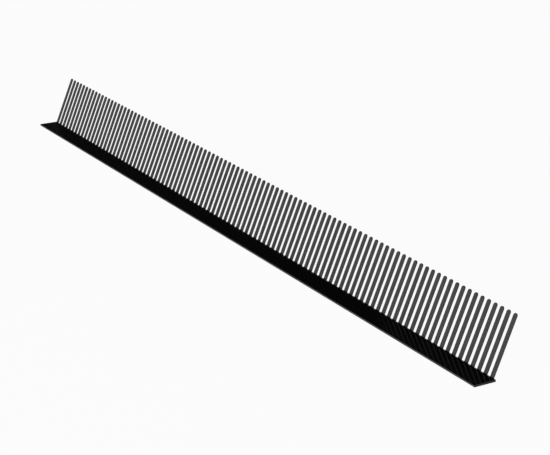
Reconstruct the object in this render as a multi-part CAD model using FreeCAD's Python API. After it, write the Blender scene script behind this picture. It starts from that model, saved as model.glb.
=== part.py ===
import FreeCAD, Part
import math
import os

# Eaves bird comb: one moulded strip, a flat flange with a row of thin tines leaning back from its heel.
# Sizes are in mm and degrees. X runs along the strip, Y from the flange's front edge to its heel, Z up.
# The origin is the centre of the flange's underside.

# Sizes of the whole strip
strip_length = 1000.0
comb_height = 61.7

# Sizes of the flange
flange_width = 24.5
flange_thickness = 2.2
flange_edge_radius = 0.4

# Sizes of the tines
tine_pitch = 10.0
tine_width = 5.0
tine_thickness = 1.35
tine_lean = 22.7
foot_radius = 2.5
root_depth = 1.0

# Sizes worked out from those above
lean = math.radians(tine_lean)
tine_count = int(round(strip_length / tine_pitch))
first_tine_x = -(tine_count - 1) * tine_pitch / 2
heel_y = flange_width / 2
tine_reach = (comb_height - flange_thickness - tine_thickness * math.sin(lean)) / math.cos(lean)
foot_run = foot_radius * math.tan((math.pi / 2 - lean) / 2)

# Directions and places in the strip's cross-section
across = FreeCAD.Vector(1, 0, 0)
to_front = FreeCAD.Vector(0, -1, 0)
along_tine = FreeCAD.Vector(0, math.sin(lean), math.cos(lean))
out_of_face = FreeCAD.Vector(0, -math.cos(lean), math.sin(lean))
heel_corner = FreeCAD.Vector(0, heel_y, flange_thickness)


def flange():
    # A flat bar whose two long front edges are softened.
    corner = FreeCAD.Vector(-strip_length / 2, -heel_y, 0)
    bar = Part.makeBox(strip_length, flange_width, flange_thickness, corner)
    front_edges = [e for e in bar.Edges if is_front_edge(e)]
    return bar.makeFillet(flange_edge_radius, front_edges)


def is_front_edge(edge):
    box = edge.BoundBox
    return box.XLength > flange_width and box.YMax < 0


def foot_arc():
    # The hollow radius that joins the flange's top to the front face of a tine.
    face_low = heel_corner + out_of_face * tine_thickness
    corner = face_low + along_tine * ((flange_thickness - face_low.z) / along_tine.z)
    on_face = corner + along_tine * foot_run
    on_flange = corner + to_front * foot_run
    centre = on_face + out_of_face * foot_radius
    inward = corner - centre
    middle = centre + inward * (foot_radius / inward.Length)
    return Part.Arc(on_face, middle, on_flange)


def side_profile():
    # A tine seen from its side: a thin leaning bar with a radiused foot and a short root inside the flange.
    arc = foot_arc()
    down = FreeCAD.Vector(0, 0, -root_depth)
    back_tip = heel_corner + along_tine * tine_reach
    front_tip = back_tip + out_of_face * tine_thickness
    path = [
        Part.makePolygon([back_tip, front_tip, arc.StartPoint]),
        arc.toShape(),
        Part.makePolygon([arc.EndPoint, arc.EndPoint + down, heel_corner + down, heel_corner, back_tip]),
    ]
    edges = [e for piece in path for e in piece.Edges]
    wire = Part.Wire(Part.__sortEdges__(edges))
    bar = Part.Face(wire).extrude(across * tine_width)
    bar.translate(across * (-tine_width / 2))
    return bar


def face_outline():
    # A tine seen square to its face: straight sides and a full-round tip, swept through the foot.
    half = across * (tine_width / 2)
    sweep = foot_radius + foot_run + tine_thickness + root_depth
    tip = heel_corner + along_tine * tine_reach
    shoulder = heel_corner + along_tine * (tine_reach - tine_width / 2)
    low = heel_corner - along_tine * sweep
    tip_arc = Part.Arc(shoulder + half, tip, shoulder - half)
    sides = Part.makePolygon([shoulder - half, low - half, low + half, shoulder + half])
    wire = Part.Wire(Part.__sortEdges__(sides.Edges + [tip_arc.toShape()]))
    prism = Part.Face(wire).extrude(out_of_face * (2 * sweep))
    prism.translate(out_of_face * (-sweep))
    return prism


def tine():
    # The tine is what the side profile and the face outline have in common.
    return side_profile().common(face_outline())


def tine_row():
    # Equal tines at one pitch, from end to end of the strip.
    model = tine()
    row = []
    for number in range(tine_count):
        copy = model.copy()
        copy.translate(across * (first_tine_x + number * tine_pitch))
        row.append(copy)
    return row


def comb():
    # Flange and tines are moulded as one piece.
    return flange().fuse(tine_row()).removeSplitter()


os.makedirs("parts", exist_ok=True)
strip = comb().Solids[0]
strip.exportStep("parts/eaves_comb.step")
print("volume", round(strip.Volume, 1), "box", strip.BoundBox)
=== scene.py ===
# %% [markdown]
# # An eaves bird comb
# An eaves comb is a strip of black polypropylene that is nailed along the foot of a roof.
# A flat flange lies on the board, and a row of thin tines leans back from its heel. Air passes
# between the tines into the roof, and birds don't.
# The real strip is moulded in one shot. It could be made here from a flange and a hundred loose
# tines, but those would only touch. So this lesson makes one closed mesh, from one pitch that
# repeats.

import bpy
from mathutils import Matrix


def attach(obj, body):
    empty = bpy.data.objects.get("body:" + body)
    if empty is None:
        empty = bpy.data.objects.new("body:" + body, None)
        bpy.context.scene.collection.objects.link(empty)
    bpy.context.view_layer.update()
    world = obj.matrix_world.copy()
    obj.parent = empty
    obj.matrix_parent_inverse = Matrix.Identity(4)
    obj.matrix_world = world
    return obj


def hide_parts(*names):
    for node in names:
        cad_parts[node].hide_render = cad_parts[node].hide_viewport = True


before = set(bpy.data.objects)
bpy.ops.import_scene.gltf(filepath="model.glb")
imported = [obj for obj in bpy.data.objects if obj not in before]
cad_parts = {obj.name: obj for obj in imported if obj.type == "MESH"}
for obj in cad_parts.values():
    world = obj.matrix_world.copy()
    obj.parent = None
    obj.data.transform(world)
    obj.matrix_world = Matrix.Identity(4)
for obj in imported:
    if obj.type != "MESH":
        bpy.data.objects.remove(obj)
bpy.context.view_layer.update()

# %% Import the other modules
import math

import bmesh
import bpy
from mathutils import Vector

# %% [markdown]
# ## Sizes
# Blender works in metres here, in the same frame as the construction model: X along the strip,
# Y from the flange's front edge to its heel, Z up, with the origin under the middle of the
# flange. The sizes that can be chosen are written once, and the others are worked out from them.

# %% Sizes of the strip
MM = 0.001
LENGTH = 1000 * MM
HEIGHT = 61.7 * MM
FLANGE_WIDTH = 24.5 * MM
FLANGE_THICKNESS = 2.2 * MM
FLANGE_EDGE_RADIUS = 0.4 * MM
PITCH = 10 * MM
TINE_WIDTH = 5 * MM
TINE_THICKNESS = 1.35 * MM
FOOT_RADIUS = 2.5 * MM
LEAN = math.radians(22.7)

TINE_COUNT = round(LENGTH / PITCH)
HEEL = FLANGE_WIDTH / 2
REACH = (HEIGHT - FLANGE_THICKNESS - TINE_THICKNESS * math.sin(LEAN)) / math.cos(LEAN)
FOOT_RUN = FOOT_RADIUS * math.tan((math.pi / 2 - LEAN) / 2)
print("tines:", TINE_COUNT, "reach in mm:", round(REACH / MM, 2))

# %% [markdown]
# ## One pitch of the flange
# The flange is the flat part that is nailed down. It could be one long bar with a tine set on it
# at every pitch. Here one pitch is modelled whole and then repeated, which keeps the mesh light
# and makes every tine the same, as the mould does.
# The cell is a flat block as long as one pitch. Its long front edges are softened, its two ends
# are left open so that neighbours can join, and cuts mark where the foot of the tine will stand.

# %% Two helpers, for rounding edges and for cutting faces
CUT_TOLERANCE = 0.0001 * MM


def soften(bm, edges, radius, steps):
    """Rounds square edges to the given radius."""
    bmesh.ops.bevel(
        bm, geom=edges, offset=radius, offset_type="OFFSET", affect="EDGES",
        segments=steps, profile=0.5, material=-1, clamp_overlap=False, loop_slide=True)


def cut(bm, faces, place, normal):
    """Cuts the given faces, and no others, where a plane crosses them."""
    geometry = set(faces)
    for face in faces:
        geometry.update(face.edges)
        geometry.update(face.verts)
    bmesh.ops.bisect_plane(bm, geom=list(geometry), plane_co=place, plane_no=normal,
                           dist=CUT_TOLERANCE)


# %% The flange cell
FRONT_OF_TINE = HEEL - TINE_THICKNESS / math.cos(LEAN)
TOE = FRONT_OF_TINE - FOOT_RUN
FLANGE_EDGE_STEPS = 3

# A face looks along an axis when that part of its normal is longer than this.
LOOKS_ALONG = 0.9


def is_long(edge):
    return abs(edge.verts[0].co.x - edge.verts[1].co.x) > PITCH / 2


def flange_cell():
    bm = bmesh.new()
    bmesh.ops.create_cube(bm, size=1.0)
    bmesh.ops.scale(bm, vec=(PITCH, FLANGE_WIDTH, FLANGE_THICKNESS), verts=bm.verts)
    bmesh.ops.translate(bm, vec=(0, 0, FLANGE_THICKNESS / 2), verts=bm.verts)
    ends = [face for face in bm.faces if abs(face.normal.x) > LOOKS_ALONG]
    bmesh.ops.delete(bm, geom=ends, context="FACES_ONLY")
    front = [edge for edge in bm.edges if is_long(edge) and max(v.co.y for v in edge.verts) < 0]
    soften(bm, front, FLANGE_EDGE_RADIUS, FLANGE_EDGE_STEPS)
    top = [face for face in bm.faces if face.normal.z > LOOKS_ALONG]
    cut(bm, top, (0, TOE, 0), (0, 1, 0))
    for side in (-1, 1):
        cut(bm, list(bm.faces), (side * TINE_WIDTH / 2, 0, 0), (1, 0, 0))
    return bm


cell = flange_cell()
print("flange cell faces:", len(cell.faces))

# %% [markdown]
# ## The tine
# A tine is a thin leaning bar with a hollow radius in front of its foot. It could be a bar of its
# own that is joined on, but a join can leave faces inside. So it grows out of the flange: the
# face between the cuts is extruded from ring to ring. The front of the rings follows the hollow
# radius and then the tine's straight front, while their back runs straight up the leaning back.

# %% The tine's rings
ALONG = Vector((0, math.sin(LEAN), math.cos(LEAN)))
OUT = Vector((0, -math.cos(LEAN), math.sin(LEAN)))
HEEL_CORNER = Vector((0, HEEL, FLANGE_THICKNESS))
FOOT_STEPS = 4


def tine_rings():
    """Front and back points, in the cross-section, of each ring from the flange to the tip."""
    corner = Vector((0, FRONT_OF_TINE, FLANGE_THICKNESS))
    centre = Vector((0, TOE, FLANGE_THICKNESS + FOOT_RADIUS))
    turn = math.pi / 2 - LEAN
    foot_top = (corner + ALONG * FOOT_RUN - HEEL_CORNER).dot(ALONG)
    rings = []
    for step in range(FOOT_STEPS + 1):
        angle = turn * step / FOOT_STEPS
        front = centre + Vector((0, math.sin(angle), -math.cos(angle))) * FOOT_RADIUS
        back = HEEL_CORNER + ALONG * (foot_top * step / FOOT_STEPS)
        rings.append((front, back))
    tip = HEEL_CORNER + ALONG * REACH
    rings.append((tip + OUT * TINE_THICKNESS, tip))
    return rings


rings = tine_rings()
print("rings of the tine:", len(rings))

# %% Grow the tine from its footprint
def tine_footprint(bm):
    """The face of the flange's top that lies between the cuts."""
    return next(face for face in bm.faces
                if face.normal.z > LOOKS_ALONG and face.calc_center_median().y > TOE
                and abs(face.calc_center_median().x) < TINE_WIDTH / 2)


def grow_tine(bm, rings):
    """Extrudes the footprint from ring to ring and returns the face at the tip."""
    face = tine_footprint(bm)
    for (front_from, back_from), (front_to, back_to) in zip(rings, rings[1:]):
        made = bmesh.ops.extrude_face_region(bm, geom=[face])["geom"]
        # The operator leaves the old face inside the tine, so that face is deleted.
        bmesh.ops.delete(bm, geom=[face], context="FACES_ONLY")
        face = next(item for item in made if isinstance(item, bmesh.types.BMFace))
        middle = face.calc_center_median().y
        front = [v for v in face.verts if v.co.y < middle]
        back = [v for v in face.verts if v.co.y > middle]
        bmesh.ops.translate(bm, verts=front, vec=front_to - front_from)
        bmesh.ops.translate(bm, verts=back, vec=back_to - back_from)
    return face


tip_face = grow_tine(cell, rings)
print("with its tine:", len(cell.faces))

# %% [markdown]
# The tip of each tine is a full round, with half the tine's width as its radius. A cylinder could
# cut it, but two bevels leave cleaner faces: the two short edges at the tip are rounded until
# they nearly meet, and what is left between them is welded. Then every long edge of the tine
# gets the small radius that a mould leaves.

# %% Round the tip
TIP_STEPS = 6
TIP_SHARE = 0.998
TIP_WELD = 0.02 * MM
TOLERANCE = 0.001 * MM


def round_tip(bm, face):
    short = [edge for edge in face.edges
             if abs(edge.verts[0].co.x - edge.verts[1].co.x) < TOLERANCE]
    soften(bm, short, TINE_WIDTH / 2 * TIP_SHARE, TIP_STEPS)
    bmesh.ops.remove_doubles(bm, verts=bm.verts, dist=TIP_WELD)


round_tip(cell, tip_face)
print("with its round tip:", len(cell.faces))

# %% Soften the tine's edges
MOULD_RADIUS = 0.15 * MM
MOULD_STEPS = 2
SHARP_ABOVE = math.radians(60)


def tine_faces(bm):
    return [face for face in bm.faces
            if abs(face.calc_center_median().x) <= TINE_WIDTH / 2 + TOLERANCE
            and face.calc_center_median().z > FLANGE_THICKNESS + TOLERANCE]


def soften_tine(bm):
    faces = set(tine_faces(bm))
    sharp = [edge for edge in bm.edges
             if len(edge.link_faces) == 2 and all(face in faces for face in edge.link_faces)
             and edge.calc_face_angle() > SHARP_ABOVE]
    soften(bm, sharp, MOULD_RADIUS, MOULD_STEPS)


soften_tine(cell)
print("finished cell faces:", len(cell.faces))

# %% [markdown]
# ## The whole strip
# The strip gets three finishes: one for the tines, one for the flange's two flat sides and the
# low part of each foot, which both carry painted shade, and one for the flange's thin walls. The
# cell's faces are marked for them first, so that every copy has the marks. Then the cell is
# repeated at the tine pitch, the open ends of neighbours are welded, and the two ends of the strip
# are closed. An Array modifier could repeat the cell too, but it wouldn't close the ends.

# %% Mark the cell's faces for their finishes
TINE_FINISH = 0
FLANGE_FINISH = 1
WALL_FINISH = 2

# A face is level when the upright part of its normal is longer than this.
LEVEL = 0.6


# The low, level faces of each foot take the flange's finish, and with it its painted shade.
def is_flat_side_or_low_foot(face):
    is_low = face.calc_center_median().z < FLANGE_THICKNESS + FOOT_RADIUS
    return is_low and abs(face.normal.z) > LEVEL


def mark_finishes(bm):
    tines = set(tine_faces(bm))
    for face in bm.faces:
        if is_flat_side_or_low_foot(face):
            face.material_index = FLANGE_FINISH
        elif face in tines:
            face.material_index = TINE_FINISH
        else:
            face.material_index = WALL_FINISH


mark_finishes(cell)
marks = [face.material_index for face in cell.faces]
print("faces of tine, flange and walls:", [marks.count(mark) for mark in sorted(set(marks))])

# %% Repeat the cell and close the strip's ends
SEAM_WELD = 0.01 * MM


def repeat_cell(bm):
    first = -(TINE_COUNT - 1) / 2 * PITCH
    bmesh.ops.translate(bm, vec=(first, 0, 0), verts=bm.verts)
    source = bm.verts[:] + bm.edges[:] + bm.faces[:]
    for number in range(1, TINE_COUNT):
        made = bmesh.ops.duplicate(bm, geom=source)["geom"]
        moved = [item for item in made if isinstance(item, bmesh.types.BMVert)]
        bmesh.ops.translate(bm, vec=(number * PITCH, 0, 0), verts=moved)
    seam = [v for v in bm.verts if v.is_boundary]
    bmesh.ops.remove_doubles(bm, verts=seam, dist=SEAM_WELD)


def close_ends(bm):
    open_edges = [edge for edge in bm.edges if edge.is_boundary]
    made = bmesh.ops.holes_fill(bm, edges=open_edges, sides=0)["faces"]
    for face in made:
        face.material_index = WALL_FINISH
    bmesh.ops.recalc_face_normals(bm, faces=bm.faces)


repeat_cell(cell)
close_ends(cell)
print("edges without exactly two faces:", sum(not edge.is_manifold for edge in cell.edges))

# %% Turn the mesh into the comb
SMOOTH_BELOW = math.radians(50)


def comb_object(bm):
    for face in bm.faces:
        face.smooth = True
    for edge in bm.edges:
        edge.smooth = edge.calc_face_angle(0) < SMOOTH_BELOW
    mesh = bpy.data.meshes.new("eaves_comb_moulded")
    bm.to_mesh(mesh)
    bm.free()
    comb = bpy.data.objects.new("eaves_comb_moulded", mesh)
    bpy.context.scene.collection.objects.link(comb)
    weights = comb.modifiers.new("flat faces stay flat", "WEIGHTED_NORMAL")
    weights.keep_sharp = True
    return comb


comb = comb_object(cell)
print("comb faces:", len(comb.data.polygons))

# %% [markdown]
# ## Writing shader maths as plain sums
# Node trees are easier to read as arithmetic. This small class wraps a socket, so that an
# expression on it adds the Math nodes, and its node method adds any other node.

# %% A socket that can be used in sums
class Value:
    """A socket of a material's node tree, on which arithmetic adds Math nodes."""

    def __init__(self, tree, socket=None):
        self.tree = tree
        self.socket = socket

    def node(self, kind, settings=None, out=0, **inputs):
        """Adds a node, gives it its settings and inputs, and returns one of its outputs."""
        made = self.tree.nodes.new(kind)
        for name, setting in (settings or {}).items():
            setattr(made, name, setting)
        for name, value in inputs.items():
            self.feed(self.input_called(made, name), value)
        return Value(self.tree, made.outputs[out])

    def input_called(self, made, name):
        """The name a_b means the input called A B, and i3 means the input at place 3."""
        if name[0] == "i" and name[1:].isdigit():
            return made.inputs[int(name[1:])]
        return next(s for s in made.inputs if s.name.lower().replace(" ", "_") == name)

    def feed(self, socket, value):
        """Links a value to a socket, or sets the socket to a plain number or colour."""
        if isinstance(value, Value):
            self.tree.links.new(value.socket, socket)
        else:
            socket.default_value = value

    def maths(self, operation, first, second=0.0):
        return self.node("ShaderNodeMath", {"operation": operation}, i0=first, i1=second)

    def __add__(self, other):
        return self.maths("ADD", self, other)

    def __radd__(self, other):
        return self.maths("ADD", other, self)

    def __sub__(self, other):
        return self.maths("SUBTRACT", self, other)

    def __rsub__(self, other):
        return self.maths("SUBTRACT", other, self)

    def __mul__(self, other):
        return self.maths("MULTIPLY", self, other)

    def __rmul__(self, other):
        return self.maths("MULTIPLY", other, self)

    def between(self, low, high):
        """0 below low, 1 above high, smooth between."""
        return self.node("ShaderNodeMapRange", {"interpolation_type": "SMOOTHSTEP"},
                         value=self, from_min=low, from_max=high)


# %% [markdown]
# ## The plastic
# The strip is black polypropylene throughout, but it doesn't look the same all over. One half of
# such a mould is often spark-eroded, which leaves satin faces, and the other polished, which
# leaves smooth, darker ones. The flange's flat sides are coloured darker still than the plastic,
# as painted shade where the low front light hardly reaches. The finishes could be pictures wrapped
# round the strip. Noise at its real scale is used instead, because it stays sharp from close by
# and needs no unwrapping.

# %% Helpers for a plastic and its patterns
POLYPROPYLENE_IOR = 1.49


def plastic(name, specular):
    """A new plastic, its shader, and the place on the strip that its patterns start from."""
    made = bpy.data.materials.new(name)
    made.use_nodes = True
    shader = made.node_tree.nodes["Principled BSDF"]
    shader.inputs["IOR"].default_value = POLYPROPYLENE_IOR
    shader.inputs["Specular IOR Level"].default_value = specular
    place = Value(made.node_tree).node("ShaderNodeTexCoord", out="Object")
    return made, shader, place


def noise(place, per_mm, detail=2.0, rough=0.5):
    """Noise with about per_mm grains in each millimetre."""
    return place.node("ShaderNodeTexNoise", vector=place, scale=per_mm / MM,
                      detail=detail, roughness=rough)


def stretch(place, along, across, up):
    """The place with each axis scaled, for patterns that are drawn out in one direction."""
    return place.node("ShaderNodeMapping", vector=place, scale=(along, across, up))


def tone(place, dark, pale, mask):
    """A colour that goes from dark to pale with the mask."""
    # A Mix node's colours are its inputs 6 and 7 and its output 2, counted from 0.
    return place.node("ShaderNodeMix", {"data_type": "RGBA"}, out=2,
                      i0=mask, i6=(*dark, 1), i7=(*pale, 1))


def bump(place, strength, depth, height):
    return place.node("ShaderNodeBump", strength=strength, distance=depth, height=height)


# %% [markdown]
# The tines are satin and a shade paler than the flange. One plain grey could do from far away.
# From close by, the plastic's flow leaves faint lines along a tine, handling leaves scuffs, and no
# two tines have quite the same tone. The rims are made paler, a painted sheen, and the colour goes
# dark near the foot, a painted shade where the foot curves away from the light. Each of these is a
# mask here, and weighted sums of the masks give the tone, the roughness and the bump.

# %% The tines' satin black
SATIN_SPECULAR = 0.35
GRAINS_PER_MM = 5.0
# Painted sheen: the rims are paler over this width.
RIM_SHEEN_WIDTH = 0.35 * MM
# Painted shade: the colour goes dark over this height above the flange, where the foot curves away
# from the light.
PAINTED_FOOT_SHADE_HEIGHT = 3 * MM
TINE_DARK = (0.016, 0.016, 0.017)
TINE_PALE = (0.044, 0.044, 0.045)


def tine_plastic():
    made, shader, place = plastic("satin black polypropylene", SATIN_SPECULAR)
    pitches = place.node("ShaderNodeSeparateXYZ", out="X", vector=place) * (1 / PITCH)
    number = place.maths("FLOOR", pitches)
    each = place.node("ShaderNodeTexWhiteNoise", {"noise_dimensions": "1D"}, w=number + 0.5)
    from_middle = place.maths("ABSOLUTE", place.maths("FRACT", pitches) - 0.5) * PITCH
    # Painted sheen along each tine's rims.
    rim = from_middle.between(TINE_WIDTH / 2 - RIM_SHEEN_WIDTH, TINE_WIDTH / 2)
    height = place.node("ShaderNodeSeparateXYZ", out="Z", vector=place)
    # Painted shade at the foot: 0 on the flange, 1 above the foot.
    clear_of_foot_shade = height.between(FLANGE_THICKNESS, FLANGE_THICKNESS + PAINTED_FOOT_SHADE_HEIGHT)
    cloud = noise(stretch(place, 1.0, 0.4, 0.4), 0.25)
    grain = noise(place, GRAINS_PER_MM, detail=3.0)
    flow = noise(stretch(place, 1.0, 0.05, 0.05), 2.5, detail=3.0)
    scuff = noise(stretch(place, 1.0, 1.0, 0.15), 1.6, rough=0.7).between(0.64, 0.74)
    pale = 0.3 * cloud.between(0.35, 0.75) + 0.2 * each + 0.25 * rim
    pale = pale + 0.2 * grain.between(0.55, 0.8) + 0.25 * flow.between(0.4, 0.7) + 0.4 * scuff
    satin = 0.42 + 0.12 * grain - 0.08 * rim + 0.04 * each + 0.06 * flow + 0.12 * scuff
    relief = bump(place, 0.4, 0.02 * MM, grain + 0.5 * flow)
    # The colour goes to the dark tone near the foot, as painted shade.
    place.feed(shader.inputs["Base Color"], tone(place, TINE_DARK, TINE_PALE, pale * clear_of_foot_shade))
    place.feed(shader.inputs["Roughness"], satin + 0.2 * (1 - clear_of_foot_shade))
    place.feed(shader.inputs["Normal"], relief)
    return made


# %% [markdown]
# The flange's flat sides look almost black. Their colour is darker than black polypropylene's own,
# which is partly painted shade, as the low front light hardly reaches them. A smooth black could
# do, but a moulded flange also shows flow marks, scuffs along the strip and a little dust. Its
# reflection is set weaker than polypropylene's own, because the photograph shows it darker than
# that.

# %% The flange's polished black, with painted shade
POLISHED_SPECULAR = 0.05
# Painted shade: both ends of the flange's tone are darker than the plastic, for faces the light
# hardly reaches.
FLANGE_SHADED_DARK = (0.0010, 0.0010, 0.0011)
FLANGE_SHADED_PALE = (0.006, 0.006, 0.006)


def flange_plastic():
    made, shader, place = plastic("polished black polypropylene", POLISHED_SPECULAR)
    flow = noise(stretch(place, 0.25, 1.0, 1.0), 0.5, detail=3.0)
    scuff = noise(stretch(place, 0.08, 1.0, 1.0), 3.0, rough=0.7).between(0.68, 0.8)
    dust = noise(place, 2.5).between(0.70, 0.78)
    pale = 0.3 * flow.between(0.4, 0.8) + 0.25 * scuff + 0.35 * dust
    polish = 0.08 + 0.06 * flow + 0.18 * scuff + 0.2 * dust
    relief = bump(place, 0.15, 0.01 * MM, flow + 0.3 * scuff)
    place.feed(shader.inputs["Base Color"], tone(place, FLANGE_SHADED_DARK, FLANGE_SHADED_PALE, pale))
    place.feed(shader.inputs["Roughness"], polish)
    place.feed(shader.inputs["Normal"], relief)
    return made


# %% [markdown]
# The flange's thin walls run all round it. They could share the finish of the flat sides, but
# then the front one would be darker than in the photograph. So they are satin like the tines,
# and a little darker than those. The front one faces the light and reads as a thin grey line
# under the black flange.

# %% The satin walls of the flange
WALL_DARK = (0.010, 0.010, 0.011)
WALL_PALE = (0.021, 0.021, 0.022)


def wall_plastic():
    made, shader, place = plastic("satin black walls", SATIN_SPECULAR)
    grain = noise(place, GRAINS_PER_MM, detail=3.0)
    worn = noise(stretch(place, 0.2, 1.0, 1.0), 0.8, detail=3.0).between(0.4, 0.7)
    relief = bump(place, 0.4, 0.02 * MM, grain)
    place.feed(shader.inputs["Base Color"], tone(place, WALL_DARK, WALL_PALE, worn))
    place.feed(shader.inputs["Roughness"], 0.48 + 0.12 * grain)
    place.feed(shader.inputs["Normal"], relief)
    return made


# %% Give the comb its three finishes
# Their order is that of TINE_FINISH, FLANGE_FINISH and WALL_FINISH.
for finish in (tine_plastic, flange_plastic, wall_plastic):
    comb.data.materials.append(finish())
print("finishes:", [m.name for m in comb.data.materials])

# %% The comb stands for the construction node
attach(comb, "root")
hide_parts("eaves_comb")

# %% [markdown]
# ## The floor
# The floor is a plain white sheet. Light alone could make it white, but that light would reach the
# comb too. So most of its white is its own glow, which only the camera and reflections see, and
# the rest takes the comb's soft shadow. Its edges turn up into a low wall, which closes the view
# behind the comb from low angles.

# %% The floor sheet
FLOOR_SIZE = 12.0
WALL_HEIGHT = 1.0


def floor_sheet():
    bm = bmesh.new()
    bmesh.ops.create_grid(bm, x_segments=1, y_segments=1, size=FLOOR_SIZE / 2)
    rim = [edge for edge in bm.edges if edge.is_boundary]
    made = bmesh.ops.extrude_edge_only(bm, edges=rim)["geom"]
    raised = [item for item in made if isinstance(item, bmesh.types.BMVert)]
    bmesh.ops.translate(bm, vec=(0, 0, WALL_HEIGHT), verts=raised)
    mesh = bpy.data.meshes.new("floor")
    bm.to_mesh(mesh)
    bm.free()
    floor = bpy.data.objects.new("floor", mesh)
    bpy.context.scene.collection.objects.link(floor)
    return floor


floor = floor_sheet()
print("floor faces:", len(floor.data.polygons))

# %% The floor's white paper
PAPER_WHITE = (0.9, 0.9, 0.9, 1)
FLOOR_GLOW = 0.96


def floor_paper():
    made = bpy.data.materials.new("white paper")
    made.use_nodes = True
    nodes = made.node_tree.nodes
    shader = nodes["Principled BSDF"]
    shader.inputs["Base Color"].default_value = PAPER_WHITE
    shader.inputs["Roughness"].default_value = 1.0
    shader.inputs["Specular IOR Level"].default_value = 0.0
    start = Value(made.node_tree)
    seen = start.node("ShaderNodeLightPath", out="Is Camera Ray")
    mirrored = start.node("ShaderNodeLightPath", out="Is Glossy Ray")
    through = start.node("ShaderNodeLightPath", out="Is Transmission Ray")
    own = start.maths("MAXIMUM", seen, start.maths("MAXIMUM", mirrored, through)) * FLOOR_GLOW
    lit = Value(made.node_tree, shader.outputs["BSDF"])
    glow = start.node("ShaderNodeEmission", color=(1, 1, 1, 1), strength=1.0)
    mixed = start.node("ShaderNodeMixShader", i0=own, i1=lit, i2=glow)
    start.feed(nodes["Material Output"].inputs["Surface"], mixed)
    return made


floor.data.materials.append(floor_paper())
print("floor material:", floor.data.materials[0].name)

# %% [markdown]
# ## The light
# A wide, low lamp lights the tines from in front, as in a small photo tent, so their faces read a
# soft grey. A lamp from above could light them too, but it would light the flange more, and the
# flange has to stay near black. The dim card behind the strip hardly lights it. The card is there
# to be mirrored: the flange shows it through the gaps between the tines, as faint stripes at the
# end that is nearest to the camera.

# %% The lamps and the surroundings
WORLD_LIGHT = 0.04


def softbox(name, place, aim, size, watts):
    """A rectangular lamp that shines from its place to its aim."""
    lamp = bpy.data.lights.new(name, "AREA")
    lamp.shape = "RECTANGLE"
    lamp.size, lamp.size_y = size
    lamp.energy = watts
    holder = bpy.data.objects.new(name, lamp)
    holder.location = place
    holder.rotation_euler = (Vector(aim) - Vector(place)).to_track_quat("-Z", "Y").to_euler()
    bpy.context.scene.collection.objects.link(holder)


def surroundings(strength):
    """An even white light from all around."""
    world = bpy.data.worlds.new("studio")
    world.use_nodes = True
    background = world.node_tree.nodes["Background"]
    background.inputs["Color"].default_value = (1, 1, 1, 1)
    background.inputs["Strength"].default_value = strength
    bpy.context.scene.world = world


softbox("front softbox", place=(0.3, -2.8, 0.55), aim=(0, 0, 0.03), size=(2.6, 1.0), watts=98)
softbox("dim card behind", place=(-2.6, 2.7, 2.0), aim=(0.45, 0, 0), size=(1.2, 1.2), watts=1.0)
surroundings(WORLD_LIGHT)
print("lamps:", [lamp.name for lamp in bpy.data.lights])

# %% [markdown]
# ## The camera
# The camera stands about two metres away with a long lens, to the right of the strip's front and
# a little above it. Its place, aim and lens could be guessed. They were fitted to the row of
# tines in the photograph instead, so that the render can be laid over it.

# %% The camera
PHOTO_WIDTH = 550
SENSOR_WIDTH = 36
FOCAL_PIXELS = 1724.6
CAMERA_PLACE = Vector((1645.4, -895.55, 661.3)) * MM
AZIMUTH = math.radians(59.58)
ELEVATION = math.radians(19.44)


def photo_camera():
    camera = bpy.data.cameras.new("photo camera")
    camera.sensor_fit = "HORIZONTAL"
    camera.sensor_width = SENSOR_WIDTH
    camera.lens = FOCAL_PIXELS / PHOTO_WIDTH * SENSOR_WIDTH
    holder = bpy.data.objects.new("photo camera", camera)
    flat = math.cos(ELEVATION)
    looking = Vector((-math.sin(AZIMUTH) * flat, math.cos(AZIMUTH) * flat, -math.sin(ELEVATION)))
    holder.location = CAMERA_PLACE
    holder.rotation_euler = looking.to_track_quat("-Z", "Y").to_euler()
    bpy.context.scene.collection.objects.link(holder)
    bpy.context.scene.camera = holder
    return camera


camera = photo_camera()
bpy.context.scene.view_settings.view_transform = "Standard"
print("lens in mm:", round(camera.lens, 1))
